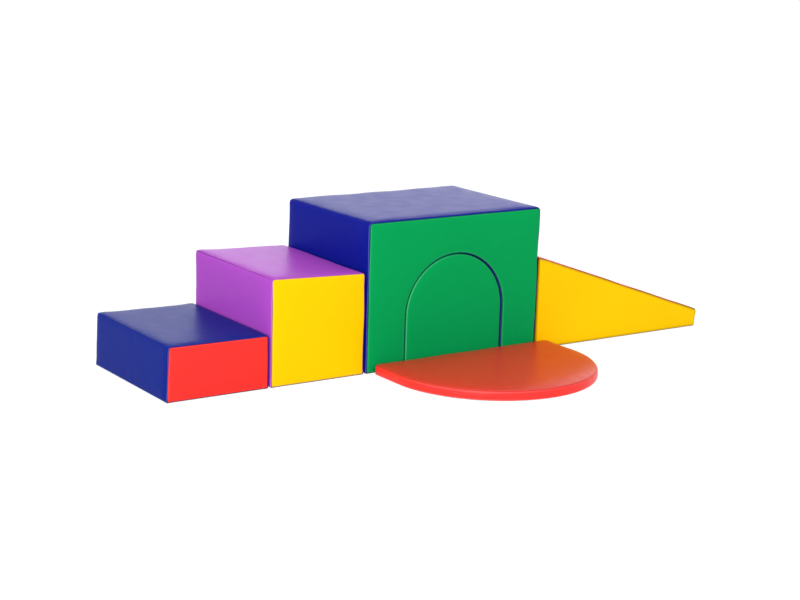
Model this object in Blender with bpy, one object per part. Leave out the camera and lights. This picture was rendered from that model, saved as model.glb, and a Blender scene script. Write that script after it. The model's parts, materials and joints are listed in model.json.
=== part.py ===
"""Soft play foam climber: two steps, a crawl-through block with its plug, a slide wedge and a mat.

X runs along the row, from the low step to the wedge's nose. The arch and the mat face -Y, and the
floor is at z = 0. The origin is under the middle of the row's outer box.

Each piece is a foam core in a sewn cover. A cover is a band round the sides and top, a panel front
and back, and a base that is turned up a little at its rim. The pieces of a cover are drawn from one
cross-section, so they meet at the seams with the same small gap.
"""

import math

import bmesh
import bpy
from mathutils import Matrix, Vector

# Blocks, in metres. All blocks have the same depth and stand in one line.
DEPTH = 0.440
LOW_WIDTH = 0.300
LOW_HEIGHT = 0.150
MID_WIDTH = 0.300
MID_HEIGHT = 0.300
MID_SLUMP = 0.008
TUNNEL_WIDTH = 0.600
TUNNEL_HEIGHT = 0.430
ARCH_WIDTH = 0.336
ARCH_SPRING = 0.147
PLUG_LEFT_GAP = 0.0005
PLUG_RIGHT_GAP = 0.0035
PLUG_TOP_GAP = 0.002
WEDGE_LENGTH = 0.645
WEDGE_HEIGHT = 0.285
NOSE_HEIGHT = 0.055
NOSE_RADIUS = 0.025

# Mat
MAT_WIDTH = 0.616
MAT_STRAIGHT = 0.1285
MAT_THICKNESS = 0.030
MAT_CORNER_RADIUS = 0.020
MAT_SHIFT = 0.0285
MAT_GAP = 0.0001

# Covers
SKIN = 0.0012
FACE_GAP = 0.0003
CORNER_RADIUS = 0.010
EDGE_RADIUS = 0.008
BULGE = 0.0015
CROWN = 0.0015
BASE_RIM = 0.005
LEAST_RADIUS = 0.001
SIDE_REACH = 0.050
SEAM_TURN = math.radians(25)
# How far in a panel's crown reaches, as a share of its narrowest wall.
CROWN_REACH_SHARE = 0.28
# Along the reach of a swell: share of the reach, and share of the draw-in still left there.
SWELL_SHARES = ((0.35, 0.4), (1, 0))

# Hook and loop strips
STRIP_THICKNESS = 0.0008
STRIP_WIDTH = 0.050
STRIP_END_MARGIN = 0.020

# Zips
ZIP_WIDTH = 0.010
ZIP_END_MARGIN = 0.030
ZIP_HEIGHT_ABOVE_FLOOR = 0.026
# The crawl-through block's zip is this share of the way up from the top of the arch to its own top.
ZIP_RISE_SHARE = 0.7
MAT_ZIP_HEIGHT = 0.0128
TAPE_THICKNESS = 0.0008
TEETH_WIDTH = 0.004
TEETH_HEIGHT = 0.0012
SLIDER_LENGTH = 0.009
SLIDER_PLATE = 0.001
SLIDER_WALL = 0.0012
PULL_LENGTH = 0.016
PULL_WIDTH = 0.004
PULL_THICKNESS = 0.0007
PULL_LAP = 0.002
CUT_OVERRUN = 0.002

# Steps round the curves
BAND_ROLL_STEPS = 3
PANEL_ROLL_STEPS = 1
CORE_ROLL_STEPS = 2
CORNER_STEPS = 3
RIM_STEPS = 2
ARCH_STEPS = 12
MAT_STEPS = 20
QUARTER = math.pi / 2

# Derived sizes and places
JOIN_GAP = 2 * STRIP_THICKNESS + 3 * FACE_GAP
CORE_OFFSET = SKIN + FACE_GAP
SEAM_HALF_GAP = FACE_GAP / (EDGE_RADIUS - SKIN) / 2
ARCH_RADIUS = ARCH_WIDTH / 2
ARCH_TOP = ARCH_SPRING + ARCH_RADIUS
LEG_WIDTH = (TUNNEL_WIDTH - ARCH_WIDTH) / 2
MAT_RADIUS = MAT_WIDTH / 2
MAT_DEPTH = MAT_STRAIGHT + MAT_RADIUS
ROW_LENGTH = LOW_WIDTH + MID_WIDTH + TUNNEL_WIDTH + WEDGE_LENGTH + 3 * JOIN_GAP
LOW_LEFT = -ROW_LENGTH / 2
MID_LEFT = LOW_LEFT + LOW_WIDTH + JOIN_GAP
TUNNEL_LEFT = MID_LEFT + MID_WIDTH + JOIN_GAP
WEDGE_LEFT = TUNNEL_LEFT + TUNNEL_WIDTH + JOIN_GAP
FRONT = (MAT_DEPTH + MAT_GAP - DEPTH) / 2
ZIP_DEPTH = FACE_GAP + TAPE_THICKNESS + TEETH_HEIGHT + FACE_GAP + SLIDER_PLATE + FACE_GAP

# Colours: red, green, blue, then roughness
NAVY = (0.013, 0.032, 0.235, 0.28)
BLUE = (0.013, 0.015, 0.262, 0.28)
RED = (0.86, 0.035, 0.03, 0.30)
PURPLE = (0.39, 0.076, 0.53, 0.30)
YELLOW = (0.96, 0.64, 0.001, 0.30)
GREEN = (0.001, 0.33, 0.083, 0.30)
BASE_BLACK = (0.02, 0.02, 0.025, 0.75)
FOAM = (0.82, 0.8, 0.7, 0.95)
TAPE = (0.03, 0.03, 0.035, 0.8)
METAL = (0.55, 0.56, 0.58, 0.35)
STRIP = (0.04, 0.04, 0.045, 0.9)


def clear_scene():
    for obj in list(bpy.data.objects):
        bpy.data.objects.remove(obj, do_unlink=True)


def material(name, colour):
    made = bpy.data.materials.new(name)
    made.use_nodes = True
    shader = made.node_tree.nodes["Principled BSDF"]
    shader.inputs["Base Color"].default_value = (*colour[:3], 1)
    shader.inputs["Roughness"].default_value = colour[3]
    shader.inputs["Metallic"].default_value = 1 if colour is METAL else 0
    return made


def piece_empty(name, left, front):
    """The empty that a piece's solids hang on, at the foot of its front left edge."""
    empty = bpy.data.objects.new(name, None)
    empty.location = (left, front, 0)
    bpy.context.scene.collection.objects.link(empty)
    return empty


def add_object(name, bm, colour, parent, location=(0, 0, 0)):
    """The bmesh as a named object with its own material, its faces turned outwards."""
    bmesh.ops.recalc_face_normals(bm, faces=bm.faces)
    mesh = bpy.data.meshes.new(name)
    bm.to_mesh(mesh)
    bm.free()
    mesh.shade_smooth()
    mesh.set_sharp_from_angle(angle=math.radians(40))
    mesh.materials.append(material(name, colour))
    obj = bpy.data.objects.new(name, mesh)
    obj.location = location
    obj.parent = parent
    bpy.context.scene.collection.objects.link(obj)
    return obj


# Outlines. An outline is a closed list of (corner, radius), and what it bounds lies to the right
# of its direction of travel.


def on_floor(corner, following):
    return corner.y == 0 and following.y == 0


def moved(corners, inset, rise):
    """The corners once each edge has moved inwards by inset, and each floor edge up by rise."""
    edges = []
    for corner, following in zip(corners, corners[1:] + corners[:1]):
        along = (following - corner).normalized()
        if rise is not None and on_floor(corner, following):
            edges.append((Vector((0, 1)), rise))
        else:
            edges.append((Vector((along.y, -along.x)), inset))
    found = []
    for corner, before, after in zip(corners, edges[-1:] + edges[:-1], edges):
        (normal, distance), (next_normal, next_distance) = before, after
        across = normal.x * next_normal.y - normal.y * next_normal.x
        shift_x = (distance * next_normal.y - next_distance * normal.y) / across
        shift_y = (normal.x * next_distance - next_normal.x * distance) / across
        found.append(corner + Vector((shift_x, shift_y)))
    return found


def ring(outline, inset, rise=None, floor_radius=0):
    """The outline's points after it is moved inwards, with its corners rounded.

    With a rise, its edges on the floor are moved up by that, and their ends rounded by floor_radius.
    """
    corners = [corner for corner, radius in outline]
    radii = [radius and max(radius - inset, LEAST_RADIUS) for corner, radius in outline]
    if rise is not None:
        radii = [radius or floor_radius * (corner.y == 0) for corner, radius in zip(corners, radii)]
    corners = moved(corners, inset, rise)
    points = []
    for index, (corner, radius) in enumerate(zip(corners, radii)):
        if not radius:
            points.append(corner)
            continue
        back = (corners[index - 1] - corner).normalized()
        ahead = (corners[(index + 1) % len(corners)] - corner).normalized()
        half = back.angle(ahead) / 2
        centre = corner + (back + ahead).normalized() * radius / math.sin(half)
        start = corner + back * radius / math.tan(half) - centre
        for step in range(CORNER_STEPS + 1):
            turn = Matrix.Rotation(-(math.pi - 2 * half) * step / CORNER_STEPS, 2)
            points.append(centre + turn @ start)
    return points


def upright(points, depth):
    """An outline of x and z, stood up at this depth behind the front."""
    return [(point.x, depth, point.y) for point in points]


def lying(points, height):
    """An outline of x and y, laid down at this height."""
    return [(point.x, point.y, height) for point in points]


def loft(rings, loop=False, closed=True):
    """A closed body over rings of equally many points.

    With loop, the last ring joins the first, and otherwise both end rings are filled. Rings that
    aren't closed leave two open ends, which are filled too.
    """
    bm = bmesh.new()
    rows = [[bm.verts.new(point) for point in points] for points in rings]
    pairs = list(zip(rows, rows[1:]))
    if loop:
        pairs.append((rows[-1], rows[0]))
    for row, following in pairs:
        count = len(row)
        for here in range(count if closed else count - 1):
            there = (here + 1) % count
            bm.faces.new((row[here], row[there], following[there], following[here]))
    if not loop:
        bm.faces.new(rows[0])
        bm.faces.new(rows[-1])
    if not closed:
        bm.faces.new([row[0] for row in rows])
        bm.faces.new([row[-1] for row in rows])
    return bm


# Cross-sections. A section is a list of (inset, depth), from the front face round to the side. The
# surface of the foam runs beneath the cover's by an offset, round the same centres.


def rolled(first, last, offset, steps):
    """The rounded edge between a face and a side, from one angle to another."""
    radius = EDGE_RADIUS - offset
    points = []
    for step in range(steps + 1):
        angle = first + (last - first) * step / steps
        inset = BULGE + EDGE_RADIUS - radius * math.sin(angle)
        points.append((inset, CROWN + EDGE_RADIUS - radius * math.cos(angle)))
    return points


def side_swell(offset):
    """The side behind the rounded edge, which swells out to its full size."""
    start = CROWN + EDGE_RADIUS
    return [(BULGE * left + offset, start + SIDE_REACH * share) for share, left in SWELL_SHARES]


def face_swell(reach, offset):
    """The face inside the rounded edge, which swells out to its full depth, the middle last."""
    start = BULGE + EDGE_RADIUS
    return [(start + reach * share, CROWN * left + offset) for share, left in SWELL_SHARES]


def band_edge(offset):
    """The part of the rounded edge that belongs to the band, from the seam."""
    return rolled(SEAM_TURN + SEAM_HALF_GAP, QUARTER, offset, BAND_ROLL_STEPS)


def panel_edge(offset):
    """The part of the rounded edge that belongs to the panel, from the seam."""
    return rolled(SEAM_TURN - SEAM_HALF_GAP, 0, offset, PANEL_ROLL_STEPS)


def core_edge():
    """The foam's own rounded edge, from the face."""
    return rolled(0, QUARTER, CORE_OFFSET, CORE_ROLL_STEPS)


def mirrored(section):
    """The section, then the same from the back."""
    return section + [(inset, DEPTH - depth) for inset, depth in reversed(section)]


def band(outline):
    """The strip of cover that runs round the outline's sides, turned over both edges to the seam."""
    outer = mirrored(band_edge(0) + side_swell(0))
    inner = mirrored(band_edge(SKIN) + side_swell(SKIN))
    foot = BASE_RIM + FACE_GAP
    sections = outer + inner[::-1]
    return loft([upright(ring(outline, i, foot), d) for i, d in sections], True, False)


def panel_rings(outline, reach, offset, foot):
    """The rings of a panel's surface, from its middle to its seam."""
    section = panel_edge(offset) + face_swell(reach, offset)
    start = panel_edge(0)[0][0]
    rings = []
    for inset, depth in reversed(section):
        rise = None if foot is None else foot + max(inset - start, 0)
        rings.append((ring(outline, inset, rise), depth))
    return rings


def panel(outline, reach, back=False):
    """The front panel, or the back one, crowned a little and turned in at its seam."""
    foot = BASE_RIM + FACE_GAP
    outer = panel_rings(outline, reach, 0, foot)
    inner = panel_rings(outline, reach, SKIN, foot)
    places = [(points, DEPTH - depth if back else depth) for points, depth in outer + inner[::-1]]
    return loft([upright(points, depth) for points, depth in places])


def core(outline, reach):
    """The foam block inside a cover."""
    section = [(inset, depth, inset - BULGE) for inset, depth in core_edge()]
    section += [(inset, depth, CORE_OFFSET) for inset, depth in side_swell(CORE_OFFSET)]
    start = section[0]
    face = [(inset, depth, start[2] + inset - start[0]) for inset, depth in face_swell(reach, CORE_OFFSET)]
    section = face[::-1] + section
    section += [(inset, DEPTH - depth, rise) for inset, depth, rise in reversed(section)]
    turn = BASE_RIM - CORE_OFFSET
    return loft([upright(ring(outline, i, rise, turn), depth) for i, depth, rise in section])


def base(outline, drawn_in=0):
    """The base panel: flat on the floor, its rim turned up to meet the rest of the cover."""
    rings = []
    angles = [QUARTER * step / RIM_STEPS for step in range(RIM_STEPS + 1)]
    for radius, turns in ((BASE_RIM, angles), (BASE_RIM - SKIN, angles[::-1])):
        for angle in turns:
            inset = drawn_in + BASE_RIM - radius * math.sin(angle)
            rings.append(lying(ring(outline, inset), BASE_RIM - radius * math.cos(angle)))
    return loft(rings)


def base_outline(left, right):
    """The foot of a block between two of its walls, in x and y, which follows their swell."""
    wall = [(BULGE, CROWN, EDGE_RADIUS)]
    wall += [(inset, depth, 0) for inset, depth in mirrored(side_swell(0))]
    wall += [(BULGE, DEPTH - CROWN, EDGE_RADIUS)]
    outline = [(Vector((left + inset, depth)), radius) for inset, depth, radius in wall]
    outline += [(Vector((right - inset, depth)), radius) for inset, depth, radius in reversed(wall)]
    return outline


def box(low, high):
    """A box between two corners."""
    bm = bmesh.new()
    size = [top - bottom for bottom, top in zip(low, high)]
    middle = [(top + bottom) / 2 for bottom, top in zip(low, high)]
    place = Matrix.Translation(middle) @ Matrix.Diagonal((*size, 1))
    bmesh.ops.create_cube(bm, size=1, matrix=place)
    return bm


def extruded(profile, left, length):
    """A profile of y and z, run along x."""
    bm = bmesh.new()
    face = bm.faces.new([bm.verts.new((left, y, z)) for y, z in profile])
    made = bmesh.ops.extrude_face_region(bm, geom=[face])
    moving = [item for item in made["geom"] if isinstance(item, bmesh.types.BMVert)]
    bmesh.ops.translate(bm, verts=moving, vec=(length, 0, 0))
    return bm


# Blocks


def block_outline(width, left_height, right_height, right_radius=CORNER_RADIUS):
    """A block's front, in x and z, which may be lower on its right."""
    return [
        (Vector((0, 0)), 0),
        (Vector((0, left_height)), CORNER_RADIUS),
        (Vector((width, right_height)), right_radius),
        (Vector((width, 0)), 0),
    ]


def arch_outline(left, right, height):
    """An arch from its right foot over to its left foot, as the edge of what stands round it."""
    middle, half = (left + right) / 2, (right - left) / 2
    points = [Vector((right, 0))]
    for step in range(ARCH_STEPS + 1):
        angle = math.pi * step / ARCH_STEPS
        rise = (height - ARCH_SPRING) * math.sin(angle)
        points.append(Vector((middle + half * math.cos(angle), ARCH_SPRING + rise)))
    points.append(Vector((left, 0)))
    return [(point, 0) for point in points]


def zip_fastener(name, parent, opened, left, length, face, height):
    """A zip along x in a recess of a cover's back, which is cut out of the solids named in opened.

    It starts at left, its recess is measured in from face, and its slider waits at the left end.
    """
    half = ZIP_WIDTH / 2
    floor = face - ZIP_DEPTH
    cutter = box((left, floor, height - half), (left + length, face + CUT_OVERRUN, height + half))
    cutter = add_object(name + "_recess", cutter, TAPE, parent)
    cutter.hide_render = True
    cutter.display_type = "WIRE"
    for obj in opened:
        cut = obj.modifiers.new("zip recess", "BOOLEAN")
        cut.object = cutter
        cut.operation = "DIFFERENCE"
        cut.solver = "EXACT"

    back, tape = floor + FACE_GAP, floor + FACE_GAP + TAPE_THICKNESS
    crest, tooth, edge = tape + TEETH_HEIGHT, TEETH_WIDTH / 2, half - FACE_GAP
    profile = [(back, -edge), (tape, -edge), (tape, -tooth), (crest, -tooth)]
    profile += [(crest, tooth), (tape, tooth), (tape, edge), (back, edge)]
    profile = [(y, height + z) for y, z in profile]
    tape_left, tape_length = left + FACE_GAP, length - 2 * FACE_GAP
    add_object(name, extruded(profile, tape_left, tape_length), TAPE, parent)

    inner, under, top = tooth + FACE_GAP, tape + FACE_GAP, crest + FACE_GAP + SLIDER_PLATE
    outer = inner + SLIDER_WALL
    profile = [(under, -outer), (top, -outer), (top, outer), (under, outer)]
    profile += [(under, inner), (crest + FACE_GAP, inner), (crest + FACE_GAP, -inner), (under, -inner)]
    slider = extruded(profile, -SLIDER_LENGTH / 2, SLIDER_LENGTH)
    place = (tape_left + SLIDER_LENGTH, 0, height)
    slider = add_object(name + "_slider", slider, METAL, parent, place)

    pull_left = SLIDER_LENGTH / 2 - PULL_LAP
    pull_top = top - (SLIDER_PLATE - PULL_THICKNESS) / 2
    low = (pull_left, pull_top - PULL_THICKNESS, -PULL_WIDTH / 2)
    pull = box(low, (pull_left + PULL_LENGTH, pull_top, PULL_WIDTH / 2))
    pull = add_object(name + "_pull", pull, METAL, parent, place)
    pull.hide_render = True
    pull.display_type = "WIRE"
    join = slider.modifiers.new("pull", "BOOLEAN")
    join.object = pull
    join.operation = "UNION"
    join.solver = "EXACT"


def strips(name, parent, side, outwards, height):
    """Two upright strips of hook or loop tape on a block's side, clear of its rounded edges."""
    near = side + outwards * FACE_GAP
    low, high = sorted((near, near + outwards * STRIP_THICKNESS))
    first = CROWN + EDGE_RADIUS + SIDE_REACH
    bottom, top = BASE_RIM + STRIP_END_MARGIN, height - STRIP_END_MARGIN
    for end, start in (("front", first), ("back", DEPTH - first - STRIP_WIDTH)):
        strip = box((low, start, bottom), (high, start + STRIP_WIDTH, top))
        add_object(f"{name}_{end}", strip, STRIP, parent)


def plain_block(name, left, outline, narrowest, colours):
    """A block with one outline all through: core, band, two panels, base and zip."""
    band_colour, panel_colour = colours
    parent = piece_empty(name, left, FRONT)
    reach = narrowest * CROWN_REACH_SHARE
    foam = add_object(name + "_foam_core", core(outline, reach), FOAM, parent)
    add_object(name + "_band", band(outline), band_colour, parent)
    add_object(name + "_front_panel", panel(outline, reach), panel_colour, parent)
    rear = panel(outline, reach, back=True)
    rear = add_object(name + "_back_panel", rear, panel_colour, parent)
    width = outline[-1][0].x
    add_object(name + "_base", base(base_outline(0, width)), BASE_BLACK, parent)
    length = width - 2 * ZIP_END_MARGIN
    opened = (foam, rear)
    zip_fastener(name + "_zip", parent, opened, ZIP_END_MARGIN, length, DEPTH, ZIP_HEIGHT_ABOVE_FLOOR)
    return parent


def tunnel_block():
    """The crawl-through block: its core, panels and lining leave the arch open from front to back."""
    name = "tunnel_block"
    parent = piece_empty(name, TUNNEL_LEFT, FRONT)
    outside = block_outline(TUNNEL_WIDTH, TUNNEL_HEIGHT, TUNNEL_HEIGHT)
    arch_left, arch_right = LEG_WIDTH, TUNNEL_WIDTH - LEG_WIDTH
    arch = arch_outline(arch_left, arch_right, ARCH_TOP)
    whole = outside + arch
    reach = LEG_WIDTH * CROWN_REACH_SHARE
    foam = add_object(name + "_foam_core", core(whole, reach), FOAM, parent)
    add_object(name + "_band", band(outside), BLUE, parent)
    add_object(name + "_arch_lining", band(arch), BLUE, parent)
    add_object(name + "_front_panel", panel(whole, reach), GREEN, parent)
    rear = panel(whole, reach, back=True)
    rear = add_object(name + "_back_panel", rear, GREEN, parent)
    for side, left, right in (("left", 0, arch_left), ("right", arch_right, TUNNEL_WIDTH)):
        add_object(f"{name}_{side}_base", base(base_outline(left, right)), BASE_BLACK, parent)
    length = TUNNEL_WIDTH - 2 * ZIP_END_MARGIN
    height = ARCH_TOP + (TUNNEL_HEIGHT - ARCH_TOP) * ZIP_RISE_SHARE
    zip_fastener(name + "_zip", parent, (foam, rear), ZIP_END_MARGIN, length, DEPTH, height)
    strips(name + "_left_loop_strip", parent, 0, -1, MID_HEIGHT - MID_SLUMP)
    strips(name + "_right_loop_strip", parent, TUNNEL_WIDTH, 1, WEDGE_HEIGHT)


def arch_plug():
    """The block that fills the arch, green all over, leaning on the arch's left wall."""
    name = "arch_plug"
    width = ARCH_WIDTH - PLUG_LEFT_GAP - PLUG_RIGHT_GAP
    height = ARCH_TOP - PLUG_TOP_GAP
    outline = arch_outline(0, width, height)[::-1]
    parent = piece_empty(name, TUNNEL_LEFT + LEG_WIDTH + PLUG_LEFT_GAP, FRONT)
    reach = ARCH_SPRING * CROWN_REACH_SHARE
    foam = add_object(name + "_foam_core", core(outline, reach), FOAM, parent)
    add_object(name + "_band", band(outline), GREEN, parent)
    add_object(name + "_front_panel", panel(outline, reach), GREEN, parent)
    rear = panel(outline, reach, back=True)
    rear = add_object(name + "_back_panel", rear, GREEN, parent)
    add_object(name + "_base", base(base_outline(0, width)), BASE_BLACK, parent)
    length = width - 2 * ZIP_END_MARGIN
    opened = (foam, rear)
    zip_fastener(name + "_zip", parent, opened, ZIP_END_MARGIN, length, DEPTH, ZIP_HEIGHT_ABOVE_FLOOR)


def mat_outline():
    """The mat's half-round shape, in x and y, its straight side along y = 0."""
    places = [(Vector((0, 0)), MAT_CORNER_RADIUS), (Vector((MAT_WIDTH, 0)), MAT_CORNER_RADIUS)]
    for step in range(MAT_STEPS + 1):
        angle = math.pi * step / MAT_STEPS
        x = MAT_RADIUS + MAT_RADIUS * math.cos(angle)
        places.append((Vector((x, -MAT_STRAIGHT - MAT_RADIUS * math.sin(angle))), 0))
    return places


def mat_wall(offset):
    """The mat's rim below its rounded edge: full size half way down, drawn in again at the base."""
    foot = BASE_RIM + FACE_GAP
    start = MAT_THICKNESS - CROWN - EDGE_RADIUS
    return [(offset, (start + foot) / 2), (BULGE + offset, foot)]


def half_round_mat():
    """The landing mat, its straight side against the front of the crawl-through block."""
    name = "landing_mat"
    left = TUNNEL_LEFT + TUNNEL_WIDTH / 2 + MAT_SHIFT - MAT_RADIUS
    parent = piece_empty(name, left, FRONT - MAT_GAP)
    outline = mat_outline()
    reach = MAT_STRAIGHT * CROWN_REACH_SHARE

    def placed(section):
        return [(inset, MAT_THICKNESS - depth) for inset, depth in section]

    def surface(offset):
        return placed(band_edge(offset)) + mat_wall(offset)

    rim = [lying(ring(outline, i), z) for i, z in surface(0) + surface(SKIN)[::-1]]
    rim = add_object(name + "_rim_band", loft(rim, loop=True), RED, parent)

    outer = panel_rings(outline, reach, 0, None)
    inner = panel_rings(outline, reach, SKIN, None)
    top = [lying(points, MAT_THICKNESS - depth) for points, depth in outer + inner[::-1]]
    add_object(name + "_top_panel", loft(top), RED, parent)

    section = placed(face_swell(reach, CORE_OFFSET)[::-1] + core_edge())
    section += mat_wall(CORE_OFFSET)
    section.append((BULGE + BASE_RIM, CORE_OFFSET))
    foam = loft([lying(ring(outline, i), z) for i, z in section])
    foam = add_object(name + "_foam_core", foam, FOAM, parent)

    add_object(name + "_base", base(outline, BULGE), BASE_BLACK, parent)

    start = MAT_CORNER_RADIUS + ZIP_END_MARGIN
    length = MAT_WIDTH - 2 * start
    zip_fastener(name + "_zip", parent, (foam, rim), start, length, 0, MAT_ZIP_HEIGHT)


def build():
    clear_scene()

    outline = block_outline(LOW_WIDTH, LOW_HEIGHT, LOW_HEIGHT)
    low = plain_block("low_step", LOW_LEFT, outline, LOW_HEIGHT, (NAVY, RED))
    strips("low_step_hook_strip", low, LOW_WIDTH, 1, LOW_HEIGHT)

    outline = block_outline(MID_WIDTH, MID_HEIGHT, MID_HEIGHT - MID_SLUMP)
    mid = plain_block("mid_step", MID_LEFT, outline, LOW_HEIGHT, (PURPLE, YELLOW))
    strips("mid_step_loop_strip", mid, 0, -1, LOW_HEIGHT)
    strips("mid_step_hook_strip", mid, MID_WIDTH, 1, MID_HEIGHT - MID_SLUMP)

    tunnel_block()
    arch_plug()

    outline = block_outline(WEDGE_LENGTH, WEDGE_HEIGHT, NOSE_HEIGHT, NOSE_RADIUS)
    wedge = plain_block("slide_wedge", WEDGE_LEFT, outline, NOSE_HEIGHT, (RED, YELLOW))
    strips("slide_wedge_hook_strip", wedge, 0, -1, WEDGE_HEIGHT)

    half_round_mat()


build()
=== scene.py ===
"""Soft play foam climber: the covers, foam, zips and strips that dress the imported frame.

Lengths are in metres. X runs along the row from the low step to the wedge's nose, the arch and the
mat face -Y, and the floor is at z = 0.
"""

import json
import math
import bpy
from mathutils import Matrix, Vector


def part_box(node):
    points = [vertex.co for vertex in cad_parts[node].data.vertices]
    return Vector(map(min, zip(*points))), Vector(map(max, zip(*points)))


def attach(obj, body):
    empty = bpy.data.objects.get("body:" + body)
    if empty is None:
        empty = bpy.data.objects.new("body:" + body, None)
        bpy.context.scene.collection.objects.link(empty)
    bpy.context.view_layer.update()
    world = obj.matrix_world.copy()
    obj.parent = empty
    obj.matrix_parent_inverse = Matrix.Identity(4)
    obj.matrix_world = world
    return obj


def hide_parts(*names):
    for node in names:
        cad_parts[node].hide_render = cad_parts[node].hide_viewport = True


bl_info = {
    "name": "Soft Play Foam Climber",
    "version": (1, 0, 0),
    "blender": (4, 5, 0),
    "location": "View3D > Sidebar > Climber",
    "description": "Covers, foam, zips and studio for a row of soft play blocks",
    "category": "Object",
}

import bmesh
import bpy
from bpy.props import FloatProperty, FloatVectorProperty, PointerProperty
from mathutils import Matrix, Vector, noise
from mathutils.bvhtree import BVHTree
from mathutils.kdtree import KDTree

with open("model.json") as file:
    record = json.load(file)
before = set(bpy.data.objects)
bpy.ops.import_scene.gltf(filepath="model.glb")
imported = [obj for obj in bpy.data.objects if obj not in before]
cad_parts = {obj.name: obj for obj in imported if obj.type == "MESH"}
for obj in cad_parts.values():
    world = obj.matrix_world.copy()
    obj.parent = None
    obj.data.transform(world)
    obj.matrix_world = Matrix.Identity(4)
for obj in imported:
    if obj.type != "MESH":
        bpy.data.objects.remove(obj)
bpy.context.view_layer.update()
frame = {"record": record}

# The parts of a cover, which its faces are marked with
BAND, FRONT_PANEL, BACK_PANEL, BASE, LINING = range(5)

# Zips run along RIGHT in faces that look OUT, and UP is across them
RIGHT, OUT, UP = Vector((1, 0, 0)), Vector((0, 1, 0)), Vector((0, 0, 1))

# Steps that a rounding is made in: of a cover's edges, its edges at the floor, and a block's corners
ROLL_STEPS, FLOOR_ROLL_STEPS, CORNER_STEPS = 7, 3, 4
# Steps in the quarter rounds of the arch, the plug and the mat
ARCH_STEPS, PLUG_STEPS, MAT_STEPS = 32, 24, 44
# The step of a cover's rounded edge at which its seam lies
SEAM_STEP, ARCH_SEAM_STEP, WEDGE_SEAM_STEP, PLUG_SEAM_STEP, MAT_SEAM_STEP = 2, 3, 4, 6, 3

# Gaps at the left, at the right and over the top of the plug
PLUG_GAPS = 0.0005, 0.0035, 0.002
# Radius of the mat's two rear corners, and the rows of cells in its rim
MAT_CORNER, MAT_ROWS = 0.02, 4
# Height, over the block's, at which a leaning wall would be upright
LEAN_TOP = 1.3
# How far the corner that the wedge's panel wraps over is drawn down, and the height where that starts
WRAP_TUCK, WRAP_TUCK_FROM = 0.0046, 0.9

# How much of a face's normal lies along an axis that it faces roughly, plainly or squarely
ROUGHLY, PLAINLY, SQUARELY = 0.5, 0.9, 0.9999
# Slack when places are compared, the distance at which verts merge, and that at which a cut snaps
TINY, MERGE, SNAP = 1e-5, 1e-4, 0.001
# How far past its radius a corner's verts may lie, and how far from its middle, in radians, its crease
ARC_SLACK, CREASE_SLACK = 1.02, 0.03
SHARP_ANGLE = math.radians(50)

CLOTH_FRAMES = 20
# Height and fineness of the small puckers, over the large ones'
SMALL_PUCKERS = 0.5, 2.3
# How strongly the strays along a seam differ from one another
STRAY_CONTRAST = 1.3
# How much wider the foam's grooves and strays are than its cover's
FOAM_GROOVE, FOAM_STRAY = 4, 2

# Most of a noise's values, and all of a painted edge highlight's
NOISE_SPAN, HIGHLIGHT_SPAN = (0.3, 0.7), (0, 6)

# How far out a stitch starts before it is dropped on the cover
STITCH_RAY = 0.05
# A tooth's squeeze along the zip, the height of its middle over its thickness, and the places of teeth
# and rails across the zip over a tooth's length
TOOTH_SQUEEZE, TOOTH_RISE, TOOTH_PLACE, RAIL_PLACE = 0.75, 0.45, 0.12, 0.62
RAIL_SIDES, TOOTH_SIDES = 8, 6
# The slider's metal, its plate's length, and the half width and thickness of its pull
SHEET, PLATE, PULL, PULL_SHEET = 0.001, 0.009, 0.0018, 0.0007
# The plate's narrow end over its wide one, and the pull's free end over its other
PLATE_TAPER, PULL_FLARE = 0.7, 1.25
# Radius and steps of their corners, at the start and at the end, and of the walls' corners
PLATE_CORNERS, PULL_CORNERS, WALL_CORNER = ((0.001, 3), (0.0015, 3)), ((0.0012, 3), (0.0018, 4)), (0.0003, 2)
# Radius of the plate's edges and of all others
PLATE_EDGE, THIN_EDGE = 0.00025, 0.0002
# How far the walls reach up into the plate, and the pull's height in it and lap over its end
WALL_RISE, PULL_RISE, PULL_LAP = 0.0003, 0.0002, 0.002
# A strip's corners, and the insets to its sewn line, as (width, sink over the strip's thickness)
STRIP_CORNER = 0.004
STRIP_INSETS = (0.0004, 0), (0.0026, 0), (0.0005, -0.25), (0.0005, 0.25)

# Place and size of each lamp, and the point that they face
KEY_LAMP = (-3.6, -3.2, 1.6), (3.0, 3.0)
BACK_LAMP = (3.9, 5.6, 1.7), (7.0, 2.6)
LAMP_AIM = Vector((0, 0, 0.2))
SENSOR_WIDTH, VIEW_END = 36, 200


def dye(name, description, default):
    """A colour that can be set."""
    return FloatVectorProperty(
        name=name, description=description, subtype="COLOR", size=3, min=0, max=1, default=default
    )


def number(name, description, default, **settings):
    """A number that can be set."""
    return FloatProperty(name=name, description=description, default=default, **settings)


def metres(name, description, default):
    """A length that can be set."""
    return number(name, description, default, unit="LENGTH", min=0, precision=5)


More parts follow.
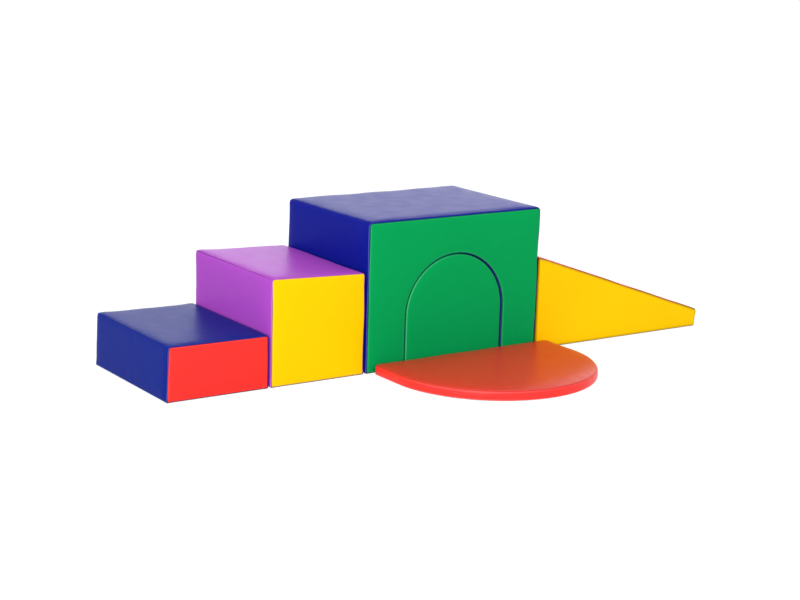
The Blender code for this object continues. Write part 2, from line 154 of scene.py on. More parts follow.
class ClimberColours(bpy.types.PropertyGroup):
    """The colours of the climber's cloths and fittings."""

    navy: dye("Navy", "Low step's band", (0.005, 0.018, 0.225))
    blue: dye("Blue", "Crawl-through block's band and lining", (0.004, 0.009, 0.25))
    red: dye("Red", "Low step's panels, wedge's band and the mat's rim", (0.93, 0.036, 0.03))
    mat_red: dye("Mat red", "Top of the mat", (0.72, 0.036, 0.022))
    purple: dye("Purple", "Mid step's band", (0.42, 0.072, 0.54))
    yellow: dye("Yellow", "Mid step's and wedge's panels", (0.96, 0.585, 0.001))
    green: dye("Green", "Crawl-through block's panels and the plug", (0.001, 0.33, 0.083))
    rubber: dye("Rubber", "Anti-slip bases", (0.014, 0.014, 0.018))
    foam: dye("Foam", "Foam inside the covers", (0.78, 0.74, 0.6))
    tape: dye("Tape", "Zip tapes", (0.02, 0.02, 0.024))
    metal: dye("Metal", "Zip sliders", (0.55, 0.56, 0.58))
    pile: dye("Pile", "Hook and loop strips", (0.018, 0.018, 0.02))
    thread: dye("Thread", "Stitches beside the zips", (0.05, 0.05, 0.055))


class ClimberCovers(bpy.types.PropertyGroup):
    """The make of the covers."""

    corner_radius: metres("Corner radius", "Radius that a block's corner is built with", 0.0105)
    tight_radius: metres("Tight corner", "Radius that the cover pulls a step's corner to", 0.0038)
    tall_radius: metres("Tall corner radius", "Radius of the tallest block's corners", 0.0135)
    roll_radius: metres("Edge radius", "Rounded edge between a panel and the band", 0.0048)
    tall_roll: metres("Tall edge radius", "The same on the tallest block", 0.0075)
    mat_roll: metres("Mat's edge radius", "Rounded edge between the mat's top and rim", 0.009)
    arch_radius: metres("Arch edge radius", "Rounded edge round the arch and the plug", 0.0045)
    floor_radius: metres("Floor edge radius", "Rounded edge at the floor", 0.004)
    draw_in: metres("Draw-in", "How far a cover is drawn in before it swells", 0.0015)
    snug_draw: metres("Arch's draw-in", "How far plug and lining are drawn in", 0.0004)
    plug_rise: metres("Plug's rise", "How far its cover rises into the gap over it", 0.001)
    snug_share: number(
        "Arch's swell", "Share of it left between plug and lining", 0.25, subtype="FACTOR", min=0, max=1
    )
    vinyl: metres("Vinyl", "Thickness of the coated cloth", 0.0012)
    ease: metres("Ease", "Gap between the cloth and what it lies on", 0.0003)
    cell: metres("Cell", "Size of the mesh's cells before they are divided", 0.012)
    most_swell: metres("Most swell", "Most that the cloth may swell", 0.0015)
    most_dent: metres("Most dent", "Most that the cloth may sink", 0.0004)
    swell_scale: number("Swell scale", "Swell at which the cap takes hold, over the cap", 1.8, min=0.1)
    pressure: number("Pressure", "Push of the foam on the cloth", 4, min=0)
    spare_cloth: number("Spare cloth", "Share by which the cloth is larger than the foam", 0.004, min=0)
    fill: number("Fill", "How full the covers are", 0.95, subtype="FACTOR", min=0, max=1)
    seam_depth: metres("Seam depth", "How deep a seam is drawn in", 0.0013)
    seam_reach: metres("Seam reach", "Half width of the groove at a seam", 0.0017)
    pucker_height: metres("Pucker height", "Height of the puckers beside a seam", 0.0003)
    pucker_length: metres("Pucker length", "Length of one pucker along the seam", 0.013)
    pucker_reach: metres("Pucker reach", "How far the puckers run from the seam", 0.012)
    wander: metres("Wander", "Most that an edge strays inwards along a seam", 0.003)
    wander_length: metres("Wander's length", "Length of one stray along the seam", 0.11)
    wander_reach: metres("Wander's reach", "How far from the seam the cloth follows it", 0.02)
    # The painted highlight on the rolled edges: its distance from the seam, its half width, and how much
    # brighter it is painted on the edges that face the key lamp at the left
    highlight_place: metres("Worn edge's place", "Distance of the worn edge from the seam", 0.0032)
    highlight_width: metres("Worn edge's width", "Half width of the worn edge", 0.0013)
    key_side_highlight: number("Left edges", "How much paler the worn edges on the climbing side are", 5.0)


class ClimberZips(bpy.types.PropertyGroup):
    """The make of the zips."""

    slot_depth: metres("Slot depth", "Depth of the slot that a zip lies in", 0.0039)
    lip: metres("Lip", "Rounding of the slot's lip", 0.0007)
    tape: metres("Tape", "Thickness of the tape", 0.0007)
    tooth_pitch: metres("Tooth pitch", "Distance from tooth to tooth", 0.0016)
    tooth: metres("Tooth", "Thickness of a tooth", 0.0011)
    tooth_length: metres("Tooth length", "Length of a tooth across the zip", 0.0026)
    stitch_pitch: metres("Stitch pitch", "Distance from stitch to stitch", 0.0036)
    stitch_length: metres("Stitch length", "Length of a stitch", 0.0027)
    stitch: metres("Stitch", "Thickness of the thread", 0.0006)
    stitch_margin: metres("Stitch margin", "Distance of the stitches from the slot", 0.0028)


class ClimberStudio(bpy.types.PropertyGroup):
    """The floor, the lights and the camera."""

    camera_place: FloatVectorProperty(
        name="Camera",
        description="Camera's place",
        subtype="TRANSLATION",
        size=3,
        default=(-2.8925, -3.9201, 1.286),
    )
    azimuth: number("Azimuth", "Turn of the camera about Z", -0.599856, subtype="ANGLE")
    elevation: number("Elevation", "Tilt of the camera above the horizon", 0.2246174, subtype="ANGLE")
    roll: number("Roll", "Roll of the camera", 0.0296388, subtype="ANGLE")
    lens: number("Lens", "Focal length in millimetres", 78.82, min=1)
    floor_size: metres("Floor", "Side of the floor", 60)
    floor_white: number("Floor white", "Light that the floor adds for the camera", 0.88, min=0)
    floor_shade: number("Floor shade", "Share of the floor that takes the shadow", 0.2, min=0, max=1)
    sky_top: number("Sky above", "Light from straight above", 0.8, min=0)
    sky_side: number("Sky at the sides", "Light from the horizon", 1.1, min=0)
    key_power: number("Key lamp", "Power of the lamp at the left", 110, unit="POWER", min=0)
    back_power: number("Back lamp", "Power of the lamp behind the tops", 105, unit="POWER", min=0)


# Finishes


class Nodes:
    """The node tree of a material or a world while it is laid out."""

    def __init__(self, holder):
        holder.use_nodes = True
        self.tree = holder.node_tree

    def add(self, kind, **settings):
        node = self.tree.nodes.new("ShaderNode" + kind)
        for name, value in settings.items():
            setattr(node, name, value)
        return node

    def feed(self, node, *first, **named):
        """Sets or links a node's first inputs in their order, and others by name, with _ for spaces."""
        pairs = list(zip(node.inputs, first))
        for name, value in named.items():
            socket = next(s for s in node.inputs if s.name.lower().replace(" ", "_") == name and s.enabled)
            pairs.append((socket, value))
        for socket, value in pairs:
            if isinstance(value, bpy.types.NodeSocket):
                self.tree.links.new(value, socket)
            else:
                socket.default_value = value
        return node


class Finish(Nodes):
    """A material on Object coordinates while its nodes are laid out."""

    def __init__(self, name):
        self.material = bpy.data.materials.new(name)
        super().__init__(self.material)
        self.shader = self.tree.nodes["Principled BSDF"]
        self.place = self.add("TexCoord").outputs["Object"]

    def noise(self, scale, detail):
        return self.feed(self.add("TexNoise"), vector=self.place, scale=scale, detail=detail).outputs["Fac"]

    def cells(self, scale, feature="F1", randomness=1.0):
        node = self.add("TexVoronoi", feature=feature)
        return self.feed(node, vector=self.place, scale=scale, randomness=randomness).outputs["Distance"]

    def yarns(self, scale, direction):
        node = self.add("TexWave", wave_type="BANDS", bands_direction=direction)
        return self.feed(node, vector=self.place, scale=scale, distortion=0.4).outputs["Fac"]

    def span(self, value, low, high, of=(0.0, 1.0)):
        """The value, spread from the span given as of to low and high."""
        node = self.add("MapRange")
        self.feed(node, value=value, from_min=of[0], from_max=of[1], to_min=low, to_max=high)
        return node.outputs["Result"]

    def blend(self, share, first, second):
        node = self.feed(self.add("Mix", data_type="RGBA"), factor=share, a=first, b=second)
        return next(s for s in node.outputs if s.enabled)

    def attribute(self, name):
        return self.add("Attribute", attribute_name=name).outputs["Fac"]

    def bump(self, height, distance, strength, under=None):
        node = self.feed(self.add("Bump"), height=height, distance=distance, strength=strength)
        if under is not None:
            self.feed(node, normal=under)
        return node.outputs["Normal"]

    def shade(self, **values):
        self.feed(self.shader, **values)
        return self.material


def tint(colour, share, white=0.0):
    """The colour made lighter or darker, then mixed with a share of white."""
    channels = (min(channel * share, 1) for channel in colour)
    return (*(channel + (1 - channel) * white for channel in channels), 1)


def vinyl_finish(name, colour, ior=1.1, gloss=0.36):
    """Coated cloth: a fine grain, a soft sheen, a painted highlight on its rolled edges and painted shade in
    the seams.
    """
    finish = Finish(name)
    mottle = finish.span(finish.noise(scale=3.0, detail=3), 0, 1, NOISE_SPAN)
    base = finish.blend(mottle, tint(colour, 0.97), tint(colour, 1.02))
    # Painted highlight: the rolled edges beside the seams are painted a paler, brighter colour
    highlit = finish.span(finish.attribute("worn_edge"), 0, 0.72, HIGHLIGHT_SPAN)
    base = finish.blend(highlit, base, tint(colour, 2, white=0.12))
    # Painted shade: the colour is darkened along the seams, where their grooves lie in shadow
    seam = finish.span(finish.attribute("seam_shade"), 0, 0.85)
    base = finish.blend(seam, base, tint(colour, 0.2))
    waves = finish.bump(finish.noise(scale=6.0, detail=0), distance=0.002, strength=0.08)
    grain = finish.bump(finish.cells(900.0, "SMOOTH_F1"), distance=0.00005, strength=0.12, under=waves)
    rough = finish.span(finish.noise(scale=25.0, detail=2), gloss, gloss + 0.04, NOISE_SPAN)
    return finish.shade(base_color=base, roughness=rough, ior=ior, normal=grain)


def mat_finish(name, colour):
    """The mat's coated cloth, glossier than the blocks'."""
    return vinyl_finish(name, colour, ior=1.28, gloss=0.3)


def rubber_finish(name, colour):
    """Anti-slip cloth: rows of small raised dots on a dull ground."""
    finish = Finish(name)
    dots = finish.span(finish.cells(190.0, randomness=0.0), 1, 0, (0.22, 0.34))
    base = finish.blend(dots, tint(colour, 0.7), tint(colour, 1.6))
    rough = finish.span(dots, 0.85, 0.5)
    ground = finish.bump(finish.noise(scale=900.0, detail=2), distance=0.0001, strength=0.4)
    bump = finish.bump(dots, distance=0.0004, strength=0.8, under=ground)
    return finish.shade(base_color=base, roughness=rough, normal=bump)


def foam_finish(name, colour):
    """Open cells in a pale foam."""
    finish = Finish(name)
    pores = finish.cells(650.0)
    base = finish.blend(finish.span(pores, 0, 1, (0.1, 0.7)), tint(colour, 1.05), tint(colour, 0.8))
    bump = finish.bump(pores, distance=0.0008, strength=0.8)
    return finish.shade(base_color=base, roughness=0.95, normal=bump)


def woven_finish(name, colour):
    """A plain weave of fine yarn."""
    finish = Finish(name)
    weave = finish.add("Math", operation="MAXIMUM")
    height = finish.feed(weave, finish.yarns(550.0, "X"), finish.yarns(550.0, "Z")).outputs["Value"]
    base = finish.blend(height, tint(colour, 0.6), tint(colour, 1.5))
    bump = finish.bump(height, distance=0.0002, strength=0.7)
    return finish.shade(base_color=base, roughness=0.8, normal=bump)


def pile_finish(name, colour):
    """The nap of hook and loop tape."""
    finish = Finish(name)
    nap = finish.noise(scale=1400.0, detail=4)
    base = finish.blend(nap, tint(colour, 0.5), tint(colour, 2.2))
    fluff = finish.bump(nap, distance=0.0003, strength=0.8)
    bump = finish.bump(finish.cells(700.0), distance=0.0005, strength=0.9, under=fluff)
    return finish.shade(base_color=base, roughness=0.92, sheen_weight=0.25, normal=bump)


def metal_finish(name, colour):
    """Zip metal with fine scratches."""
    finish = Finish(name)
    scratch = finish.noise(scale=600.0, detail=5)
    base = finish.blend(scratch, tint(colour, 0.85), tint(colour, 1.1))
    rough = finish.span(scratch, 0.22, 0.45)
    bump = finish.bump(scratch, distance=0.00005, strength=0.4)
    return finish.shade(base_color=base, roughness=rough, metallic=1.0, normal=bump)


FINISHES = {
    "vinyl": vinyl_finish,
    "mat": mat_finish,
    "rubber": rubber_finish,
    "foam": foam_finish,
    "woven": woven_finish,
    "pile": pile_finish,
    "metal": metal_finish,
}


def finish_for(kind, name):
    """The material of that kind and colour, made once."""
    label = f"climber_{kind}_{name}"
    colours = bpy.context.scene.climber_colours
    return bpy.data.materials.get(label) or FINISHES[kind](label, getattr(colours, name))


# Pieces


def object_of(bm, name):
    """A new object in the scene with the bmesh as its mesh."""
    mesh = bpy.data.meshes.new(name)
    bm.to_mesh(mesh)
    made = bpy.data.objects.new(name, mesh)
    bpy.context.scene.collection.objects.link(made)
    return made


def evaluated(made):
    """The object with its modifiers at work."""
    return made.evaluated_get(bpy.context.evaluated_depsgraph_get())


def discard(made):
    """Takes an object and its mesh out again."""
    mesh = made.data
    bpy.data.objects.remove(made)
    bpy.data.meshes.remove(mesh)


def add_piece(name, bm, finish, body, nodes):
    """The bmesh as a piece that rides on a body and stands for CAD nodes."""
    piece = object_of(bm, name)
    bm.free()
    mesh = piece.data
    mesh.materials.clear()
    mesh.materials.append(finish)
    mesh.polygons.foreach_set("material_index", [0] * len(mesh.polygons))
    mesh.shade_smooth()
    mesh.set_sharp_from_angle(angle=SHARP_ANGLE)
    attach(piece, body)
    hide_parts(*nodes)
    return piece


def of_kind(made, kind):
    """What an extrusion or a cut made of one kind."""
    return [item for item in made["geom"] if isinstance(item, kind)]


def merge_into(bm, part):
    """Moves a whole bmesh into another."""
    mesh = bpy.data.meshes.new("part")
    part.to_mesh(mesh)
    part.free()
    bm.from_mesh(mesh)
    bpy.data.meshes.remove(mesh)


def is_flat(edge):
    """Whether an edge lies in X and Z."""
    return abs(edge.verts[0].co.y - edge.verts[1].co.y) < TINY


def highest(edge):
    return max(vert.co.z for vert in edge.verts)


def parts_at(item):
    """The parts of the cover that meet at a vert or an edge."""
    return {face.material_index for face in item.link_faces}


def bevel(bm, geom, radius, steps, affect="EDGES"):
    bmesh.ops.bevel(
        bm,
        geom=geom,
        offset=radius,
        offset_type="OFFSET",
        affect=affect,
        segments=steps,
        profile=0.5,
        material=-1,
        clamp_overlap=False,
    )


def outline(left, right, foot, top, rounding, foot_rounding=(0, 0)):
    """Corners of an outline as (x, z, radius, steps), clockwise from the left foot."""
    return [
        (left, foot, *foot_rounding),
        (left, top, *rounding),
        (right, top, *rounding),
        (right, foot, *foot_rounding),
    ]


def rounded_face(bm, corners):
    """A face in X and Z from the corners of an outline."""
    points = [Vector((x, z)) for x, z, *_ in corners]
    verts = [bm.verts.new((point.x, 0, point.y)) for point in points]
    bm.faces.new(verts)
    for index, (*_, radius, steps) in enumerate(corners):
        if radius:
            point, following = points[index], points[(index + 1) % len(points)]
            half = (points[index - 1] - point).angle(following - point) / 2
            bevel(bm, [verts[index]], radius / math.tan(half), steps, "VERTICES")
    bmesh.ops.remove_doubles(bm, verts=bm.verts, dist=MERGE)


def divide(bm, edges, count):
    """Divides each of the edges into that many."""
    bmesh.ops.subdivide_edges(bm, edges=edges, cuts=count - 1, use_grid_fill=True)


def divide_straights(bm, cuts, shortest):
    """Divides the straight edges of an outline: cuts says how many edges the sides, top and foot get."""
    floor = bpy.context.scene.climber_covers.floor_radius + TINY
    groups = {"side": [], "foot": [], "top": []}
    for edge in bm.edges:
        run = edge.verts[1].co - edge.verts[0].co
        if is_flat(edge) and run.length >= shortest:
            upright = abs(run.x) < abs(run.z)
            groups["side" if upright else "foot" if highest(edge) < floor else "top"].append(edge)
    for place, edges in groups.items():
        if edges and cuts[place] > 1:
            divide(bm, edges, cuts[place])


def fill_face(bm, face):
    """Swaps a many-sided face for a grid between its four sides."""
    verts = list(face.verts)
    count = len(verts)
    foot_left, top_left, foot_right = (
        max(range(count), key=lambda i: across * verts[i].co.x + up * verts[i].co.z)
        for across, up in ((-1, -1), (-1, 1), (1, -1))
    )
    turn = 1 if (top_left - foot_left) % count < count / 2 else -1
    side = turn * (top_left - foot_left) % count
    foot = turn * (foot_left - foot_right) % count
    if 2 * (side + foot) != count:
        raise RuntimeError(f"a panel's sides don't match: {side} and {foot} of {count} edges")
    ring = [verts[(foot_left + turn * step) % count] for step in range(count + 1)]
    edges = [bm.edges.get(pair) for pair in zip(ring, ring[1:])]
    bmesh.ops.delete(bm, geom=[face], context="FACES_ONLY")
    edges = edges[side : side + foot] + edges[count - foot :]
    bmesh.ops.grid_fill(bm, edges=edges, mat_nr=0, use_smooth=True, use_interp_simple=False)


def corner_arcs(corners):
    """Centre, direction to the corner, half span and radius of each rounded corner."""
    points = [Vector((x, z)) for x, z, *_ in corners]
    arcs = []
    for index, (*_, radius, steps) in enumerate(corners):
        if not radius:
            continue
        point = points[index]
        before = (points[index - 1] - point).normalized()
        after = (points[(index + 1) % len(points)] - point).normalized()
        half = before.angle(after) / 2
        outward = -(before + after).normalized()
        arcs.append((point - outward * radius / math.sin(half), outward, math.pi / 2 - half, radius))
    return arcs


def tighten(bm, arcs, radius):
    """Pulls the rounded corners out until they have the smaller radius."""
    for centre, outward, span, wide in arcs:
        shift = wide / math.cos(span) * (1 - radius / wide)
        for vert in bm.verts:
            arm = Vector((vert.co.x, vert.co.z)) - centre
            if not TINY < arm.length < wide * ARC_SLACK:
                continue
            turn = arm.angle(outward)
            if turn > span:
                continue
            reach = wide / math.cos(span - turn)
            under = radius**2 - (shift * math.sin(turn)) ** 2
            if under > 0:
                reach = min(reach, shift * math.cos(turn) + math.sqrt(under))
            share = (arm.length / wide) ** 2
            vert.co.x, vert.co.z = centre + arm * (1 + (reach / wide - 1) * share)


def mark_seams(bm, arcs, sewn_corners=False):
    """Marks the edges where two parts are sewn together as seams, and the band's corners as sharp."""
    for edge in bm.edges:
        parts = parts_at(edge)
        if len(parts) > 1:
            edge.seam = True
        if parts != {BAND} or is_flat(edge):
            continue
        for centre, outward, span, radius in arcs:
            arms = [Vector((vert.co.x, vert.co.z)) - centre for vert in edge.verts]
            near = all(radius / 2 < arm.length < 2 * radius for arm in arms)
            if near and all(arm.angle(outward) < CREASE_SLACK for arm in arms):
                edge.smooth = False
                edge.seam = sewn_corners


def open_outline(corners, cuts, shortest):
    """An outline without its foot, as edges alone."""
    bm = bmesh.new()
    rounded_face(bm, corners)
    bmesh.ops.delete(bm, geom=bm.faces[:], context="FACES_ONLY")
    divide_straights(bm, cuts, shortest)
    bmesh.ops.delete(bm, geom=[edge for edge in bm.edges if highest(edge) < TINY], context="EDGES")
    return bm


def deepen(bm, depth):
    """Extrudes the front faces to the back."""
    made = bmesh.ops.extrude_face_region(bm, geom=bm.faces[:])
    bmesh.ops.translate(bm, verts=of_kind(made, bmesh.types.BMVert), vec=(0, depth, 0))
    bmesh.ops.recalc_face_normals(bm, faces=bm.faces)


def rim_edges(bm, with_foot):
    """The edges between the front or back and what stands at right angles to it."""
    found = []
    for edge in bm.edges:
        faces = sorted(edge.link_faces, key=lambda face: abs(face.normal.y))
        turned = abs(faces[0].normal.y) < ROUGHLY < abs(faces[-1].normal.y)
        if is_flat(edge) and turned and (with_foot or highest(edge) > TINY):
            found.append(edge)
    return found


def depth_edges(bm, shortest):
    """The edges from front to back that are longer than the shortest."""
    return [edge for edge in bm.edges if not is_flat(edge) and edge.calc_length() > shortest]


def round_foot(bm, radius):
    """Rounds the edges all round the flat foot."""
    low = {face for face in bm.faces if face.normal.z < -SQUARELY and face.calc_center_median().z < TINY}
    foot = [edge for edge in bm.edges if sum(face in low for face in edge.link_faces) == 1]
    bevel(bm, foot, radius, FLOOR_ROLL_STEPS)


def divide_walls(bm, cuts, shortest):
    """Divides the straights of a form while its ends stay whole."""
    ends = [face for face in bm.faces if abs(face.normal.y) > SQUARELY]
    bmesh.ops.delete(bm, geom=ends, context="FACES_ONLY")
    divide_straights(bm, cuts, shortest)
    bmesh.ops.holes_fill(bm, edges=[edge for edge in bm.edges if edge.is_boundary], sides=0)


def fill_ends(bm):
    """Fills the large faces at a form's front and back with grids."""
    large = [face for face in bm.faces if len(face.verts) > 4 * ROLL_STEPS and abs(face.normal.y) > ROUGHLY]
    for face in large:
        fill_face(bm, face)


def roll_depth(radius, step):
    """How far behind the face a step of the rounded edge lies."""
    return radius * (1 - math.cos(math.pi / 2 * step / ROLL_STEPS))


def in_arch(point, left, right, top):
    return left - TINY < point.x < right + TINY and point.z < top + TINY


def block_form(corners, cuts, depth, roll, arch=None):
    """A closed block with rounded edges, from its outline and, where it has one, its arch's."""
    covers = bpy.context.scene.climber_covers
    bm = bmesh.new()
    shortest = 2 * covers.cell
    if arch:
        for shape, counts in ((corners, cuts), arch):
            merge_into(bm, open_outline(shape, counts, shortest))
        bmesh.ops.bridge_loops(bm, edges=bm.edges[:])
    else:
        rounded_face(bm, corners)
    deepen(bm, depth)
    rims = rim_edges(bm, False)
    if arch:
        left, right, top = arch[0][0][0], arch[0][2][0], arch[0][1][1]
        inner = [edge for edge in rims if all(in_arch(vert.co, left, right, top) for vert in edge.verts)]
        bevel(bm, inner, covers.arch_radius, ROLL_STEPS)
        rims = [edge for edge in rims if edge.is_valid and edge not in inner]
    bevel(bm, rims, roll, ROLL_STEPS)
    round_foot(bm, covers.floor_radius)
    if arch:
        crossing = [edge for edge in bm.edges if is_flat(edge) and edge.calc_length() > 2 * shortest]
        divide(bm, crossing, cuts["leg"])
    else:
        divide_walls(bm, cuts, shortest)
    divide(bm, depth_edges(bm, depth / 2), max(round(depth / covers.cell), 2))
    fill_ends(bm)
    return bm


def mat_form(corners, cuts, depth):
    """The closed mat, its top at y = 0 and its floor side at the depth."""
    covers = bpy.context.scene.climber_covers
    bm = bmesh.new()
    rounded_face(bm, corners)
    deepen(bm, depth)
    rims = rim_edges(bm, True)
    top = [edge for edge in rims if edge.verts[0].co.y < depth / 2]
    floor = [edge for edge in rims if edge.verts[0].co.y > depth / 2]
    bevel(bm, top, covers.mat_roll, ROLL_STEPS)
    bevel(bm, [edge for edge in floor if edge.is_valid], covers.floor_radius, FLOOR_ROLL_STEPS)
    divide_walls(bm, cuts, 2 * covers.cell)
    divide(bm, depth_edges(bm, depth / 3), MAT_ROWS)
    fill_ends(bm)
    return bm


def mark_parts(bm, depth, roll, seam_step, lining=None, mat=False, wrap=0.0):
    """Marks each face with the part of the cover that it belongs to."""
    covers = bpy.context.scene.climber_covers
    floor = roll_depth(covers.floor_radius, ROLL_STEPS / FLOOR_ROLL_STEPS) - TINY
    for face in bm.faces:
        centre = face.calc_center_median()
        inside = bool(lining) and in_arch(centre, *lining)
        seam = roll_depth(covers.arch_radius, ARCH_SEAM_STEP) if inside else roll_depth(roll, seam_step)
        wrapped = wrap and centre.x < covers.corner_radius + covers.draw_in
        if mat:
            part = FRONT_PANEL if centre.y < seam else BASE if centre.y > depth - floor else BAND
        elif centre.z < floor:
            part = BASE
        elif centre.y < (wrap if wrapped else seam):
            part = FRONT_PANEL
        elif centre.y > depth - seam:
            part = BACK_PANEL
        else:
            part = LINING if inside else BAND
        face.material_index = part


def swell(bm, name, snug, plump):
    """Blows the cloth up against its seams in a cloth simulation, and caps what comes of it."""
    scene = bpy.context.scene
    covers = scene.climber_covers
    pad = object_of(bm, name)
    bm.verts.index_update()
    held = {vert.index for edge in bm.edges if edge.seam or not edge.smooth for vert in edge.verts}
    held |= {vert.index for vert in bm.verts if parts_at(vert) == {BASE}}
    pad.vertex_groups.new(name="held").add(sorted(held), 1, "REPLACE")
    cloth = pad.modifiers.new("cloth", "CLOTH")
    cloth.settings.vertex_group_mass = "held"
    cloth.settings.use_pressure = True
    cloth.settings.uniform_pressure_force = covers.pressure
    cloth.settings.shrink_min = -covers.spare_cloth
    cloth.settings.effector_weights.gravity = 0
    cloth.collision_settings.use_collision = False
    cloth.point_cache.frame_start, cloth.point_cache.frame_end = 1, CLOTH_FRAMES
    for step in range(1, CLOTH_FRAMES + 1):
        scene.frame_set(step)
    blown = evaluated(pad).data
    bm.normal_update()
    for vert, moved in zip(bm.verts, blown.vertices):
        rise = (moved.co - vert.co).dot(vert.normal)
        cap = covers.most_swell * plump if rise > 0 else covers.most_dent
        if snug in parts_at(vert):
            cap *= covers.snug_share
        vert.co += vert.normal * cap * math.tanh(rise / (cap * covers.swell_scale))
    scene.frame_set(1)
    discard(pad)


def divided(bm):
    """The bmesh with one level of subdivision."""
    holder = object_of(bm, "coarse")
    modifier = holder.modifiers.new("divide", "SUBSURF")
    modifier.levels = modifier.render_levels = 1
    fine = bpy.data.meshes.new_from_object(evaluated(holder))
    made = bmesh.new()
    made.from_mesh(fine)
    bpy.data.meshes.remove(fine)
    discard(holder)
    return made


def seam_tree(bm, snug):
    """A search tree of the verts on a seam, and how far each may stray, over the wander.

    That is less near the floor and nothing at the snug part.
    """
    seams = [vert for vert in bm.verts if any(edge.seam for edge in vert.link_edges)]
    reach = bpy.context.scene.climber_covers.wander_reach
    tree, shares = KDTree(len(seams)), []
    for index, vert in enumerate(seams):
        tree.insert(vert.co, index)
        shares.append(0 if snug in parts_at(vert) else min(vert.co.z / reach, 1))
    tree.balance()
    return tree, shares


def bell(distance, width):
    """1 at no distance, falling off smoothly to either side."""
    return math.exp(-((distance / width) ** 2))


def shrink_foam(bm, drawn, snug):
    """Sets the foam back from its cover, and further where the seams draw the cover in."""
    covers = bpy.context.scene.climber_covers
    tree, shares = seam_tree(bm, snug)
    bm.normal_update()
    moves = []
    for vert in bm.verts:
        index, distance = tree.find(vert.co)[1:]
        groove = covers.seam_depth * bell(distance, FOAM_GROOVE * covers.seam_reach)
        stray = shares[index] * covers.wander * math.exp(-distance / (FOAM_STRAY * covers.wander_reach))
        moves.append(covers.vinyl + covers.ease + (groove + stray) * drawn)
    for vert, move in zip(bm.verts, moves):
        vert.co -= vert.normal * move


def sew(bm, drawn, snug, shaded):
    """Draws the cloth in along its seams, puckers it beside them, and marks the seams' painted shade and the
    edges' painted highlight.
    """
    covers = bpy.context.scene.climber_covers
    shade = bm.verts.layers.float.new("seam_shade")
    highlight_layer = bm.verts.layers.float.new("worn_edge")
    tree, shares = seam_tree(bm, snug)
    small, fine = SMALL_PUCKERS
    bm.normal_update()
    moves = []
    for vert in bm.verts:
        near, index, distance = tree.find(vert.co)
        groove = bell(distance, covers.seam_reach)
        fade = math.exp(-distance / covers.pucker_reach) * min(distance / covers.seam_reach, 1)
        place = near / covers.pucker_length
        pucker = noise.noise(place) + small * noise.noise(place * fine)
        stray = min(max(0.5 + STRAY_CONTRAST * noise.noise(near / covers.wander_length), 0), 1)
        stray *= shares[index] * covers.wander * math.exp(-distance / covers.wander_reach)
        moves.append(covers.pucker_height * fade * pucker - (covers.seam_depth * groove + stray) * drawn)
        # Painted highlight beside each seam: edges that look left and forwards at once, towards the key
        # lamp, are painted paler
        lit = 1 + covers.key_side_highlight * 2 * max(-vert.normal.x, 0) * max(-vert.normal.y, 0)
        # Painted shade along the seam's groove, as wide as shaded asks
        vert[shade] = bell(distance, covers.seam_reach * shaded) * drawn
        vert[highlight_layer] = lit * bell(distance - covers.highlight_place, covers.highlight_width)
    for vert, move in zip(bm.verts, moves):
        vert.co += vert.normal * move


def faces_out(face):
    return face.normal.dot(OUT) > PLAINLY


def between(point, low, high):
    return all(a < value < b for a, value, b in zip(low, point, high))


def once_each(items):
    """The items without repeats, in their order, which a set wouldn't keep from run to run."""
    return list(dict.fromkeys(items))


def cut_slot(bm, part, low, high, lip=0.0):
    """Sinks the zip's slot into the faces of one part that look OUT, and gives its floor."""
    reach = Vector((2 * bpy.context.scene.climber_covers.cell,) * 3)
    faces = [
        face
        for face in bm.faces
        if face.material_index == part
        and faces_out(face)
        and between(face.calc_center_median(), low - reach, high + reach)
    ]
    for place, direction in ((low, RIGHT), (high, RIGHT), (low, UP), (high, UP)):
        geom = once_each(item for face in faces for item in (face, *face.verts, *face.edges))
        made = bmesh.ops.bisect_plane(
            bm, geom=geom, dist=SNAP, plane_co=place, plane_no=direction, use_snap_center=True
        )
        faces = of_kind(made, bmesh.types.BMFace)
    edges = once_each(edge for face in faces for edge in face.edges)
    bmesh.ops.dissolve_degenerate(bm, dist=SNAP / 2, edges=edges)
    inside = []
    for face in filter(faces_out, bm.faces):
        centre = face.calc_center_median()
        if low.x < centre.x < high.x and low.z < centre.z < high.z:
            inside.append(face)
    if lip:
        bmesh.ops.inset_region(bm, faces=inside, thickness=lip, depth=-lip, use_even_offset=False)
    made = bmesh.ops.extrude_face_region(bm, geom=inside)
    bmesh.ops.delete(bm, geom=inside, context="FACES")
    depth = bpy.context.scene.climber_zips.slot_depth
    bmesh.ops.translate(bm, verts=of_kind(made, bmesh.types.BMVert), vec=-OUT * depth)
    return of_kind(made, bmesh.types.BMFace)


def part_of(bm, part, test=None):
    """A copy of the bmesh with one part's faces alone, and of these only those whose x passes a test."""
    made = bm.copy()
    extra = [
        face
        for face in made.faces
        if face.material_index != part or (test and not test(face.calc_center_median().x))
    ]
    bmesh.ops.delete(made, geom=extra, context="FACES")
    return made


def thicken(bm, thickness):
    """Gives the cloth its thickness, inwards."""
    bm.normal_update()
    inner = [(vert, vert.normal.copy()) for vert in bm.verts]
    bmesh.ops.extrude_face_region(bm, geom=bm.faces[:], use_keep_orig=True)
    for vert, normal in inner:
        vert.co -= normal * thickness
    bmesh.ops.recalc_face_normals(bm, faces=bm.faces)


